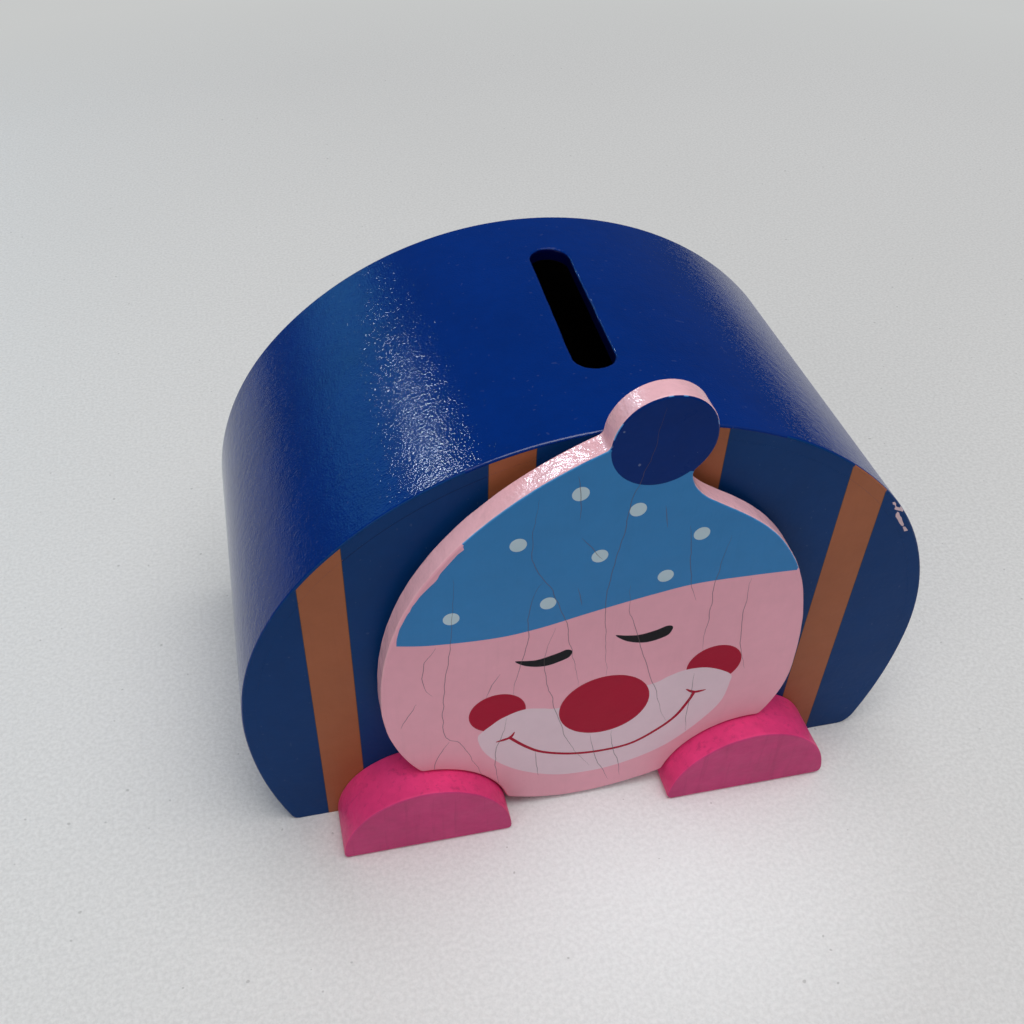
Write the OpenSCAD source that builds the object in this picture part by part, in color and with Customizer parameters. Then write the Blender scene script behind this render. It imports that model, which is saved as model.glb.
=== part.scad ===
// Clown money box: a bent plywood arch closed by boards at the front, back and bottom, with a coin
// slot in its crown, a flat clown's head and two half-round feet on its front, and a push-in stopper
// under its base. +X is the right side seen from the front, the face looks towards -Y and +Z is up.
// The origin is on the ground, in the middle of the whole thing's width and depth.

/* [Box] */
// Greatest width of the arch
body_w = 114.5; // [100:0.5:130]
// Height of the arch
body_h = 77.8; // [70:0.1:90]
// Depth of the arch from its front edge to its back edge
body_d = 60; // [50:0.5:80]
// Height of the widest level of the arch
widest_z = 26; // [22:0.5:32]
// How far the crown's arc reaches to each side, in degrees from straight up
crown_a = 46; // [40:0.5:52]
// Where the shoulder's arc ends and the flatter side begins, in degrees from straight up
side_a = 92.3; // [90:0.1:96]
// Outside radius of the sides, which lean in again towards the base
side_r = 72.7; // [60:0.1:90]
// Thickness of the bent plywood wall
wall_t = 2.2; // [1.5:0.1:3.5]
// Thickness of the front and back boards
panel_t = 5; // [3:0.5:8]
// Thickness of the base board
base_t = 6; // [5:0.5:9]
// Glue gap round each board
glue_gap = 0.1; // [0.05:0.05:0.2]

/* [Coin slot] */
// Width of the slot
slot_w = 6.4; // [4:0.1:8]
// Length of the slot over its round ends
slot_l = 34.6; // [26:0.1:40]
// Sideways place of the slot's middle
slot_x = 1.85; // [-5:0.05:5]
// Distance of the slot's middle behind the arch's front edge
slot_y = 31.7; // [26:0.1:34]
// Slant of the slot away from straight front to back, in degrees
slot_slant = 2; // [-5:0.5:5]

/* [Head plate] */
// Width of the face
head_w = 68.9; // [60:0.1:72]
// Sideways place of the face's middle
head_x = -1.3; // [-4:0.1:4]
// Thickness of the plate
head_t = 3.9; // [3:0.1:5]
// Height of the chin above the ground
chin_z = 0.65; // [0.3:0.05:2]
// Sideways place of the chin, from the face's middle
chin_x = -1.2; // [-5:0.1:5]
// Height of the widest point of the left cheek
left_cheek_z = 33.3; // [28:0.1:38]
// Height of the widest point of the right cheek
right_cheek_z = 27.5; // [24:0.1:34]
// Diameter of the cap's pompom
pompom_d = 15; // [12:0.1:18]
// Sideways place of the pompom's centre
pompom_x = 4.3; // [-6:0.1:8]
// Height of the pompom's centre
pompom_z = 78.95; // [76:0.05:84]
// Thickness of the pad that carries the plate
pad_t = 1.5; // [1:0.1:2]
// Diameter of the pad
pad_d = 40; // [24:1:50]
// Height of the pad's centre
pad_z = 36; // [32:1:44]

/* [Head outline] */
// Fullness of the left temple, as a share of the way up to the pompom
left_temple = 0.8; // [0.7:0.01:0.9]
// Fullness of the left jaw, as a share of the way down to the chin
left_jaw = 0.645; // [0.5:0.005:0.8]
// Flatness of the chin to the left, as a share of the way to the cheek
left_chin = 0.44; // [0.3:0.005:0.6]
// Flatness of the chin to the right, as a share of the way to the cheek
right_chin = 0.345; // [0.25:0.005:0.5]
// Fullness of the right jaw, as a share of the way down to the chin
right_jaw = 0.755; // [0.6:0.005:0.85]
// Fullness of the right temple, as a share of the way up to the pompom
right_temple = 0.88; // [0.7:0.01:0.92]
// Straight rise of the cap to the pompom on the right, as a share of the same way
right_neck = 0.23; // [0.1:0.01:0.4]
// Direction in which the cap's left side runs into the pompom, in degrees from straight up
left_neck_a = -65; // [-90:1:-50]
// How far out in the pompom the left side ends, as a share of its radius
left_neck_out = 0.45; // [0.3:0.05:0.9]
// Direction in which the cap's right side runs into the pompom, in degrees from straight up
right_neck_a = 140; // [120:1:160]
// How far out in the pompom the right side ends, as a share of its radius
right_neck_out = 0.98; // [0.8:0.01:1]

/* [Feet] */
// Radius of a half-round foot
foot_r = 14.7; // [11:0.1:16]
// Depth of a foot, from the front board to its own front
foot_d = 9.6; // [7:0.1:12]
// How far the outer end of a foot stands in from the arch's greatest width
foot_inset = 13.85; // [10:0.05:18]
// Sideways place of the middle between the feet
feet_x = -1; // [-4:0.1:4]
// Rounding of a foot's front edge
foot_edge_r = 0.8; // [0.3:0.1:1.5]
// Gap between a foot and the notch in the head plate
notch_gap = 0.2; // [0.1:0.05:0.5]

/* [Stopper] */
// Diameter of the hole that the coins come out of
hole_d = 34; // [30:0.5:36]
// Diameter of the stopper's flange
flange_d = 38.4; // [38:0.2:42]
// Thickness of the flange, and of the finger well's floor
flange_t = 1.6; // [1:0.1:2]
// Height of the flange above the ground
flange_z = 0.6; // [0.3:0.1:1]
// How far the skirt reaches past the base board into the box
skirt_reach = 3; // [1:0.5:6]
// Thickness of the skirt
skirt_t = 1.6; // [1.2:0.1:2]
// Gap between the skirt and its hole, all round
skirt_gap = 0.08; // [0.05:0.01:0.1]
// Gap between the flange and its recess
flange_gap = 0.3; // [0.2:0.05:0.5]
// Lead-in slope round the end of the skirt
lead_in = 0.8; // [0.4:0.1:1]
// Diameter of the finger well
well_d = 24; // [20:0.5:26]
// Depth of the finger well
well_h = 5; // [3:0.5:6]
// Width of the grip bar across the well
bar_w = 4; // [3:0.5:6]

/* [Hidden] */
$fn = 96;
curve_steps = 28;                           // points along each curve of the head
arc_step = 2.5;                             // greatest turn between points of the arch, in degrees
over = 1;                                   // how far a cut runs past a face
face_y = (foot_d - body_d) / 2;             // the arch's front edge
back_y = face_y + body_d;                   // the arch's back edge
foot_pitch = body_w - 2 * (foot_inset + foot_r);    // between the feet's middles

// The crown's arc touches the top, the shoulder's arc touches the greatest width at widest_z, and
// each arc runs smoothly into the next. That settles both radii.
flatter = (body_w / 2 + widest_z - body_h) / (cos(crown_a) + sin(crown_a) - 1);
crown_r = body_w / 2 + flatter * (1 - sin(crown_a));
shoulder_r = crown_r - flatter;
crown_c = [0, body_h - crown_r];
shoulder_c = crown_c + flatter * along(crown_a);
side_c = shoulder_c - (side_r - shoulder_r) * along(side_a);

head_left = [head_x - head_w / 2, left_cheek_z];
head_right = [head_x + head_w / 2, right_cheek_z];
chin = [head_x + chin_x, chin_z];
pompom_c = [pompom_x, pompom_z];
neck_left = pompom_c + left_neck_out * pompom_d / 2 * along(left_neck_a);
neck_right = pompom_c + right_neck_out * pompom_d / 2 * along(right_neck_a);
head_back_y = face_y - pad_t;

recess_h = flange_z + flange_t + flange_gap;
recess_d = flange_d + 2 * flange_gap;
skirt_r = hole_d / 2 - skirt_gap;
stopper_top = base_t + skirt_reach;
stopper_y = (face_y + back_y) / 2;

// Direction of a bearing, measured from straight up towards the right.
function along(a) = [sin(a), cos(a)];

// Points along a cubic curve from p to q, leaving p towards ph and reaching q from qh.
function curve(p, ph, qh, q) = [for (i = [0 : curve_steps - 1]) let (t = i / curve_steps, s = 1 - t)
    s * s * s * p + 3 * s * s * t * ph + 3 * s * t * t * qh + t * t * t * q];

// Points along an arc between two bearings, without its last point.
function arc(c, r, from, to) = let (steps = ceil((to - from) / arc_step))
    [for (i = [0 : steps - 1]) c + r * along(from + (to - from) * i / steps)];

// The arch's outline, drawn in by inset and cut off level at the height low.
module arch(inset = 0, low = 0) {
    base_a = acos((low - side_c[1]) / (side_r - inset));
    right = concat(
        arc(crown_c, crown_r - inset, 0, crown_a),
        arc(shoulder_c, shoulder_r - inset, crown_a, side_a),
        arc(side_c, side_r - inset, side_a, base_a),
        [side_c + (side_r - inset) * along(base_a)]);
    left = [for (i = [len(right) - 1 : -1 : 1]) [-right[i][0], right[i][1]]];
    polygon(concat(right, left));
}

// Stands a flat outline up, from y to y + t.
module upright(y, t) {
    translate([0, y + t, 0]) rotate([90, 0, 0]) linear_extrude(t) children();
}

// Foot outlines, grown by more.
module feet_outline(more = 0) {
    for (s = [-1, 1]) translate([feet_x + s * foot_pitch / 2, 0]) circle(foot_r + more);
}

// The bent wall: both sides and the crown in one strip, with the coin slot through it.
module arch_wall() {
    color("#0b3f9c") difference() {
        upright(face_y, body_d) arch();
        upright(face_y - over, body_d + 2 * over) arch(wall_t, -over);
        translate([slot_x, face_y + slot_y, body_h / 2]) rotate(-slot_slant) {
            translate([-slot_w / 2, -(slot_l - slot_w) / 2, 0]) cube([slot_w, slot_l - slot_w, body_h]);
            for (s = [-1, 1]) translate([0, s * (slot_l - slot_w) / 2, 0]) cylinder(d = slot_w, h = body_h);
        }
    }
}

// A flat board that closes the arch at one end.
module board(y) {
    color("#1b4584") upright(y, panel_t) arch(wall_t + glue_gap);
}

module front_panel() {
    board(face_y);
}

module back_panel() {
    board(back_y - panel_t);
}

// The base board, with the coin hole and the recess for the stopper's flange.
module base_panel() {
    room = body_d - 2 * (panel_t + glue_gap);
    color("#b98f5e") difference() {
        intersection() {
            upright(face_y + panel_t + glue_gap, room) arch(wall_t + glue_gap);
            translate([-body_w, face_y, 0]) cube([2 * body_w, body_d, base_t]);
        }
        translate([0, stopper_y, -over]) cylinder(d = hole_d, h = base_t + 2 * over);
        translate([0, stopper_y, -over]) cylinder(d = recess_d, h = recess_h + over);
    }
}

// Outline of the face and cap as one closed curve, from the pompom down the left side and back up.
module face_outline() {
    left_up = neck_left[1] - left_cheek_z;
    right_up = neck_right[1] - right_cheek_z;
    left_drop = left_cheek_z - chin_z;
    right_drop = right_cheek_z - chin_z;
    polygon(concat(
        curve(neck_left, neck_left, head_left + [0, left_temple * left_up], head_left),
        curve(head_left, head_left - [0, left_jaw * left_drop],
              chin - [left_chin * (chin[0] - head_left[0]), 0], chin),
        curve(chin, chin + [right_chin * (head_right[0] - chin[0]), 0],
              head_right - [0, right_jaw * right_drop], head_right),
        curve(head_right, head_right + [0, right_temple * right_up],
              neck_right - [0, right_neck * right_up], neck_right),
        [neck_right]));
}

// The flat head with its pompom, notched to sit down between the feet.
module head_plate() {
    color("#ffb3c6") upright(head_back_y - head_t, head_t) difference() {
        union() {
            face_outline();
            translate(pompom_c) circle(d = pompom_d);
        }
        feet_outline(notch_gap);
    }
}

// The pad that holds the head off the front board.
module head_pad() {
    color("#e8e4da") translate([head_x, face_y, pad_z]) rotate([90, 0, 0])
        cylinder(d = pad_d, h = pad_t);
}

// A half-round foot, turned about its own middle, with a rounded front edge.
module foot(x) {
    color("#f0307f") translate([x, face_y, 0]) rotate([90, 0, 0]) rotate_extrude(angle = 180) {
        square([foot_r, foot_d - foot_edge_r]);
        square([foot_r - foot_edge_r, foot_d]);
        translate([foot_r - foot_edge_r, foot_d - foot_edge_r]) circle(foot_edge_r);
    }
}

module left_foot() {
    foot(feet_x - foot_pitch / 2);
}

module right_foot() {
    foot(feet_x + foot_pitch / 2);
}

// The stopper: a flange, a hollow skirt and a finger well with a grip bar across it.
module stopper() {
    well_r = well_d / 2;
    well_top = flange_z + well_h;
    color("#1c1c1e") translate([0, stopper_y, 0]) {
        rotate_extrude() {
            translate([well_r, flange_z]) square([flange_d / 2 - well_r, flange_t]);
            translate([well_r, flange_z]) square([skirt_t, well_h + flange_t]);
            translate([0, well_top]) square([well_r + skirt_t / 2, flange_t]);
            polygon([[skirt_r - skirt_t, flange_z + flange_t / 2], [skirt_r, flange_z + flange_t / 2],
                     [skirt_r, stopper_top - lead_in], [skirt_r - lead_in, stopper_top],
                     [skirt_r - skirt_t, stopper_top]]);
        }
        translate([-bar_w / 2, -well_r - skirt_t / 2, flange_z])
            cube([bar_w, well_d + skirt_t, well_h + flange_t / 2]);
    }
}

arch_wall();
front_panel();
back_panel();
base_panel();
head_plate();
head_pad();
left_foot();
right_foot();
stopper();
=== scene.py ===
"""Looks of the clown money box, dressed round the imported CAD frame, in millimetres until a mesh is made."""
import math
from collections import Counter

import bmesh
import bpy
import numpy as np
from mathutils import Matrix, Vector, noise
from mathutils.geometry import delaunay_2d_cdt


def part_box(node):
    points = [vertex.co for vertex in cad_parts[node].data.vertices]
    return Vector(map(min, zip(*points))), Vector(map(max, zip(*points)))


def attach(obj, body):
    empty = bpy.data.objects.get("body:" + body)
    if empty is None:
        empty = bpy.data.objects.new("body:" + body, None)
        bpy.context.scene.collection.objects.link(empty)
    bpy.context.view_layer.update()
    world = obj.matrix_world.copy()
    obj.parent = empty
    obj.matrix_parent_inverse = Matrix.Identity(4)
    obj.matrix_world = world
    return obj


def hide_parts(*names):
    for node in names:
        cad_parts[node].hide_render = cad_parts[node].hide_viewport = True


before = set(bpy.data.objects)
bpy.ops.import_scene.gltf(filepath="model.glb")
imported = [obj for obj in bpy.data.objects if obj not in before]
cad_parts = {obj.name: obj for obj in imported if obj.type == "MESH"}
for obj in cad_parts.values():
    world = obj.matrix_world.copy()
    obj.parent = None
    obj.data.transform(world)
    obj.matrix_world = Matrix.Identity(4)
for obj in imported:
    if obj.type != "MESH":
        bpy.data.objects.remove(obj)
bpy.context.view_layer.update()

MM = 0.001


# ---- sizes taken from the frame

def box_mm(node):
    """Lowest and highest corner of a CAD node, in millimetres."""
    low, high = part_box(node)
    return [c / MM for c in low], [c / MM for c in high]


WALL_LOW, WALL_HIGH = box_mm("arch_wall")
FACE_Y, BACK_Y = WALL_LOW[1], WALL_HIGH[1]
ARCH_W = WALL_HIGH[0] - WALL_LOW[0]
ARCH_H = WALL_HIGH[2]
PANEL_T = box_mm("front_panel")[1][1] - FACE_Y
HEAD_LOW, HEAD_HIGH = box_mm("head_plate")
HEAD_FRONT, HEAD_BACK = HEAD_LOW[1], HEAD_HIGH[1]

# The arch's outline, as in part.scad: a crown, a shoulder and a side arc to each side.
WIDEST_Z = 26.0
CROWN_A = math.radians(46)
SIDE_A = math.radians(92.3)
SIDE_R = 72.7
WALL_T = 2.25  # the paint closes the glue line between the wall and the boards
RIM_LIGHT = (-21.0, 25.0)  # where the wall's front edge shines
RIM_LIGHT_Z = 34.0  # and below this height on the left
RIM_PRINT_X = 30.0  # right of this the print reaches over the edge
BASE_ROUND = {1: 2.0, -1: 0.7}  # rounding of the wall's foot, right and left
FOOT_ZONE = 2.5  # length at the wall's foot that has closer stations
FOOT_STOPS = (1.7, 1.1, 0.7, 0.4, 0.18, 0.0)  # their distances from its end

SLOT_W, SLOT_L = 6.4, 34.6
SLOT_X, SLOT_Y = 1.85, FACE_Y + 31.7
SLOT_SLANT = math.radians(2)
CUT_ROUGH, CUT_CALM, CUT_SCALE = 0.12, 0.03, 0.9  # roughness of the cut, its drop per row, its pattern

STRIPE_X = -1.12  # middle of the printed stripes
OUTLINE_W = 0.1  # the stripes' dark outline
STRIPES = ((-44.83, -37.89), (-17.12, -10.42), (10.42, 17.12), (37.89, 44.83))

LINE_CLEAR = 0.012  # a cut line ends this far short of a loop that it would cross
LINE_SAMPLE, HALVINGS = 0.1, 20  # it is followed in such steps, the last one halved this often
MITRE_LEAST = 0.6  # bound on the cosine that sets a mitre's reach
CORNER_DEG = 15  # sharper turns than this are corners
ROW_RISE = 0.866  # height of a row of even triangles, as a share of their side
POINT_CLEAR = 0.45  # room round the given points, as a share of the same
MERGE = 1e-6  # points closer than this become one


# ---- plane curves

def along(a):
    """Unit vector at a bearing, from straight up towards the right."""
    return math.sin(a), math.cos(a)


def smooth_curve(points, step, closed=False):
    """Points every step along a smooth curve through the given ones."""
    count = len(points)
    out = []
    for i in range(count if closed else count - 1):
        p = [Vector(points[j % count] if closed else points[min(max(j, 0), count - 1)])
             for j in range(i - 1, i + 3)]
        pieces = max(1, round((p[2] - p[1]).length / step))
        for k in range(pieces):
            t = k / pieces
            out.append(tuple(0.5 * (2 * p[1] + (p[2] - p[0]) * t
                                    + (2 * p[0] - 5 * p[1] + 4 * p[2] - p[3]) * t * t
                                    + (3 * p[1] - p[0] - 3 * p[2] + p[3]) * t ** 3)))
    if not closed:
        out.append(tuple(points[-1]))
    return out


def ellipse(centre, rx, rz, count):
    """Points of an upright ellipse."""
    turns = [2 * math.pi * k / count for k in range(count)]
    return [(centre[0] + rx * math.cos(t), centre[1] + rz * math.sin(t)) for t in turns]


def inside(points, loops):
    """Which points lie inside the loops, by the even-odd rule."""
    x, z = np.asarray(points, float).reshape(-1, 2).T
    hit = np.zeros(len(x), bool)
    for loop in loops:
        a = np.asarray(loop, float)
        for (ax, az), (bx, bz) in zip(a, np.roll(a, -1, axis=0)):
            if az != bz:
                hit ^= ((az > z) != (bz > z)) & (x < (bx - ax) * (z - az) / (bz - az) + ax)
    return hit


def between(a, b, share):
    return a[0] + (b[0] - a[0]) * share, a[1] + (b[1] - a[1]) * share


def trimmed(line, loops):
    """The stretches of a line that lie inside the loops, each ending just short of them."""
    dense = []
    for a, b in zip(line, line[1:]):
        pieces = max(1, math.ceil(math.dist(a, b) / LINE_SAMPLE))
        dense += [between(a, b, k / pieces) for k in range(pieces)]
    dense.append(line[-1])
    kept = inside(dense, loops)
    corners = {tuple(p) for p in line}
    runs, run = [], []
    for i, (p, ok) in enumerate(zip(dense, kept)):
        outer = [j for j in (i - 1, i + 1) if 0 <= j < len(dense) and not kept[j]]
        if ok and outer:
            out = dense[outer[0]]
            low, high = 0.0, 1.0
            for _ in range(HALVINGS):
                middle = (low + high) / 2
                low, high = (middle, high) if inside([between(p, out, middle)], loops)[0] else (low, middle)
            run.append(between(p, out, max(0.0, low - LINE_CLEAR / max(math.dist(p, out), 1e-9))))
        elif ok and tuple(p) in corners:
            run.append(p)
        if not ok and run:
            runs.append(run)
            run = []
    return [r for r in runs + [run] if len(r) > 1]


def normals_of(loop):
    """Outward normals of a counter-clockwise loop, and how far a mitre reaches at each point."""
    a = np.asarray(loop, float)
    before, after = a - np.roll(a, 1, axis=0), np.roll(a, -1, axis=0) - a
    before /= np.linalg.norm(before, axis=1)[:, None]
    after /= np.linalg.norm(after, axis=1)[:, None]
    n = np.stack([(before + after)[:, 1], -(before + after)[:, 0]], axis=1)
    n /= np.linalg.norm(n, axis=1)[:, None]
    reach = 1 / np.clip(n[:, 0] * after[:, 1] - n[:, 1] * after[:, 0], MITRE_LEAST, 1)
    return n, reach


def grown(loop, by):
    """A counter-clockwise loop moved outward by a distance."""
    n, reach = normals_of(loop)
    return [tuple(p) for p in np.asarray(loop, float) + n * (reach * by)[:, None]]


def even_loop(loop, step, cut=0.8):
    """Respaces a loop that has corners, and softens each of them over a length of cut."""
    a = [Vector(p) for p in loop]
    count = len(a)
    turn = [(a[i] - a[i - 1]).angle(a[(i + 1) % count] - a[i]) for i in range(count)]
    corners = [i for i in range(count) if math.degrees(turn[i]) > CORNER_DEG]
    runs = []
    for start, end in zip(corners, corners[1:] + [corners[0] + count]):
        run = [a[i % count] for i in range(start, end + 1)]
        lengths = np.cumsum([0] + [(q - p).length for p, q in zip(run, run[1:])])
        low, high = cut, lengths[-1] - cut
        stops = np.linspace(low, high, max(2, round((high - low) / step) + 1))
        xs, zs = [p.x for p in run], [p.y for p in run]
        runs.append((list(zip(np.interp(stops, lengths, xs), np.interp(stops, lengths, zs))), run[-1]))
    even = []
    for (line, corner), (after, _) in zip(runs, runs[1:] + runs[:1]):
        p, q = Vector(line[-1]), Vector(after[0])
        even += line + [tuple((1 - t) ** 2 * p + 2 * t * (1 - t) * corner + t * t * q)
                        for t in (0.25, 0.5, 0.75)]
    return even


def looped(loop):
    return list(loop) + [loop[0]]


def quarter(r, steps):
    """Rows of a quarter round: how far each is drawn in and from the edge, and its lean."""
    turns = [math.pi / 2 * k / steps for k in range(1, steps + 1)]
    return [(r * (1 - math.cos(a)), r * (1 - math.sin(a)), a) for a in turns]


def counter_clockwise(loop):
    area = sum(a[0] * b[1] - b[0] * a[1] for a, b in zip(loop, loop[1:] + loop[:1]))
    return loop if area > 0 else loop[::-1]


# ---- meshes

def added(name, data):
    """A new object in the scene."""
    made = bpy.data.objects.new(name, data)
    bpy.context.scene.collection.objects.link(made)
    return made


class Shell:
    """Gathers the points, normals and faces of one piece, in millimetres."""

    def __init__(self):
        self.points, self.normals, self.uvs, self.faces, self.paints = [], [], [], [], []
        self.cracks, self.flat = [], {}

    def point(self, p, n, uv):
        self.points.append(tuple(p))
        self.normals.append(tuple(n))
        self.uvs.append(tuple(uv))
        return len(self.points) - 1

    def face(self, ids, paint, crack=0.0, normal=None):
        """A face with its points' normals, or with one normal that makes it flat."""
        if normal:
            self.flat[len(self.faces)] = normal
        self.faces.append(list(ids))
        self.paints.append(paint)
        self.cracks.append(crack)

    def strip(self, a, b, paint, closed=True):
        """Quads between two rows of points. paint is an index, or picks one from (x, z) points."""
        last = len(a) if closed else len(a) - 1
        quads = [(a[i], a[(i + 1) % len(a)], b[(i + 1) % len(a)], b[i]) for i in range(last)]
        if callable(paint):
            corners = np.array([[self.points[k] for k in quad] for quad in quads])
            colours = paint(corners.mean(axis=1)[:, [0, 2]])
        else:
            colours = np.full(len(quads), paint)
        for quad, colour in zip(quads, colours):
            self.face(quad, int(colour))

    def build(self, name, materials):
        mesh = bpy.data.meshes.new(name)
        mesh.from_pydata([tuple(c * MM for c in p) for p in self.points], [], self.faces)
        for material in materials:
            mesh.materials.append(material)
        mesh.polygons.foreach_set("material_index", self.paints)
        crack = mesh.attributes.new("crack", "FLOAT", "FACE")
        crack.data.foreach_set("value", self.cracks)
        layer = mesh.uv_layers.new(name="sheet")
        for loop in mesh.loops:
            u, v = self.uvs[loop.vertex_index]
            layer.data[loop.index].uv = (u * MM, v * MM)
        work = bmesh.new()
        work.from_mesh(mesh)
        bmesh.ops.recalc_face_normals(work, faces=work.faces)
        work.to_mesh(mesh)
        work.free()
        mesh.shade_smooth()
        corners = [self.normals[loop.vertex_index] for loop in mesh.loops]
        for face, normal in self.flat.items():
            for corner in mesh.polygons[face].loop_indices:
                corners[corner] = normal
        mesh.normals_split_custom_set(corners)
        piece = added(name, mesh)
        return piece


def plain(paint):
    """Paints every face alike."""
    return lambda points: np.full(len(points), paint)


def upright(y, way):
    """Puts flat (x, z) points at a depth, facing way."""
    return lambda p: ((p[0], y, p[1]), (0, way, 0), (p[0], p[1]))


def fill(shell, loops, lines, step, place, paint, crack=None):
    """Fills flat loops with even triangles along the lines. Returns each loop's point numbers.

    place gives a flat point's place, normal and sheet coordinates. paint and crack take faces' middles."""
    coords, edges = [], []
    for chain, open_end in [(loop, 0) for loop in loops] + [(line, 1) for line in lines]:
        first, count = len(coords), len(chain)
        coords += [tuple(p) for p in chain]
        edges += [(first + i, first + (i + 1) % count) for i in range(count - open_end)]
    fixed = np.asarray(coords, float)
    low, high = fixed.min(axis=0), fixed.max(axis=0)
    xs = np.arange(low[0] + step / 2, high[0], step)
    zs = np.arange(low[1] + step / 2, high[1], step * ROW_RISE)
    grid = np.array([(x + (step / 2 if row % 2 else 0), z) for row, z in enumerate(zs) for x in xs])
    room = (POINT_CLEAR * step) ** 2
    coords += [tuple(p) for p in grid[inside(grid, loops)] if ((p - fixed) ** 2).sum(axis=1).min() > room]
    verts, _, faces, origins, _, _ = delaunay_2d_cdt([Vector(c) for c in coords], edges, [], 0, MERGE, True)
    corner = np.array([tuple(v) for v in verts])
    middles = np.array([corner[list(f)].mean(axis=0) for f in faces])
    keep = inside(middles, loops)
    faces = [f for f, ok in zip(faces, keep) if ok]
    middles = middles[keep]
    used = sorted({i for f in faces for i in f})
    number = {i: shell.point(*place(verts[i])) for i in used}
    paints = paint(middles)
    cracked = crack(middles) if crack else np.zeros(len(faces))
    for f, colour, broken in zip(faces, paints, cracked):
        shell.face([number[i] for i in f], int(colour), float(broken))
    of_input = {j: number.get(i) for i, ids in enumerate(origins) for j in ids}
    ends = np.cumsum([0] + [len(loop) for loop in loops])
    return [[of_input[i] for i in range(a, b)] for a, b in zip(ends, ends[1:])]


FRONT_ROWS, PRINTED_ROWS, BACK_ROWS = 5, 3, 3  # rows of the front's rounding, printed ones, the back's
WALL_ROW = 1.2  # depth of a row between the roundings
RIPPLE_SCALE, RIPPLE_SHIFT = 0.35, 0.8  # the shift keeps the ripple inside the outline


def plate(name, outline, front, back, materials, front_r, back_r, step,
          lines=(), paint=None, crack=None, sink=None, side=0, rear=0, ripple=0.0, edge_highlight=None):
    """An upright plate with rounded front and back edges. paint picks a material from (x, z) points.

    crack marks faces, sink sets points back, and the last argument picks the material of the edge's last
    printed row, for a painted highlight."""
    shell = Shell()
    outline = counter_clockwise(outline)
    inner = grown(outline, -front_r)
    n, reach = normals_of(inner)
    paint = paint or plain(0)
    kept = [run for line in lines for run in trimmed(line, [inner])]

    def at(p):
        depth = sink(p) if sink else 0.0
        return (p[0], front + depth, p[1]), (0, -1, 0), (p[0], p[1])

    def spread(out, y):
        """The inner outline moved out by a distance and the ripple at that depth."""
        places = []
        for i, p in enumerate(inner):
            here = Vector((p[0], y, p[1])) * RIPPLE_SCALE
            wave = ripple * (noise.noise(here) - RIPPLE_SHIFT) if ripple else 0.0
            o = (out + wave) * reach[i]
            places.append((p[0] + n[i][0] * o, p[1] + n[i][1] * o))
        return places

    def ring(out, y, lean):
        ids = []
        for (x, z), p, (nx, nz) in zip(spread(out, y), inner, n):
            normal = (nx * math.cos(lean), math.sin(lean), nz * math.cos(lean))
            ids.append(shell.point((x, y, z), normal, (p[0] + nx * (y - front), p[1] + nz * (y - front))))
        return ids

    rows = []
    for k in range(1, FRONT_ROWS + 1):
        a = math.pi / 2 * k / FRONT_ROWS
        rows.append((front_r * math.sin(a), front + front_r * (1 - math.cos(a)), a - math.pi / 2))
    depth = back - back_r - front - front_r
    walls = max(1, round(depth / WALL_ROW))
    rows += [(front_r, front + front_r + depth * k / walls, 0) for k in range(1, walls + 1)]
    rows += [(front_r - drawn, back - away, lean) for drawn, away, lean in quarter(back_r, BACK_ROWS)]

    rings = fill(shell, [inner], kept, step, at, paint, crack) + [ring(*row) for row in rows[:-1]]
    for number, (a, b) in enumerate(zip(rings, rings[1:]), 1):
        highlit = edge_highlight and number == PRINTED_ROWS
        shell.strip(a, b, edge_highlight if highlit else paint if number <= PRINTED_ROWS else side)
    closing, = fill(shell, [spread(*rows[-1][:2])], [], step * 2.5, upright(back, 1), plain(rear))
    shell.strip(rings[-1], closing, side)
    return shell.build(name, materials)


# ---- the arch

def arch_arcs():
    """Centre, radius, first and last bearing of each arc on the right, from the overall size."""
    flatter = (ARCH_W / 2 + WIDEST_Z - ARCH_H) / (math.cos(CROWN_A) + math.sin(CROWN_A) - 1)
    crown_r = ARCH_W / 2 + flatter * (1 - math.sin(CROWN_A))
    shoulder_r = crown_r - flatter
    crown = (0.0, ARCH_H - crown_r)
    dx, dz = along(CROWN_A)
    shoulder = (crown[0] + flatter * dx, crown[1] + flatter * dz)
    dx, dz = along(SIDE_A)
    side = (shoulder[0] - (SIDE_R - shoulder_r) * dx, shoulder[1] - (SIDE_R - shoulder_r) * dz)
    foot_a = math.acos(-side[1] / SIDE_R)
    return ((crown, crown_r, 0.0, CROWN_A), (shoulder, shoulder_r, CROWN_A, SIDE_A),
            (side, SIDE_R, SIDE_A, foot_a))


ARCS = arch_arcs()
CROWN_C, CROWN_R = ARCS[0][0], ARCS[0][1]
HALF_LENGTH = sum(r * (b - a) for _, r, a, b in ARCS)


def foot_shift(z, side, share):
    """How far the rounding of the wall's foot draws a point in."""
    r = BASE_ROUND[side]
    return (r - math.sqrt(max(r * r - (r - z) ** 2, 0))) * share if z < r else 0.0


def arch_point(s, inset):
    """(x, z) and outward (nx, nz) at an arc length from the top of the arch, drawn in by inset."""
    side = -1 if s < 0 else 1
    left = min(abs(s), HALF_LENGTH)
    for i, (centre, r, a, b) in enumerate(ARCS):
        length = r * (b - a)
        lowest = i == len(ARCS) - 1
        if left <= length or lowest:
            if lowest:
                b = math.acos(-centre[1] / (r - inset))
            bearing = a + (b - a) * min(left / length, 1)
            break
        left -= length
    nx, nz = along(bearing)
    z = max(centre[1] + (r - inset) * nz, 0.0)
    x = centre[0] + (r - inset) * nx - foot_shift(z, side, 1 - min(inset / WALL_T, 1))
    return (side * x, z), (side * nx, nz)


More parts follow.
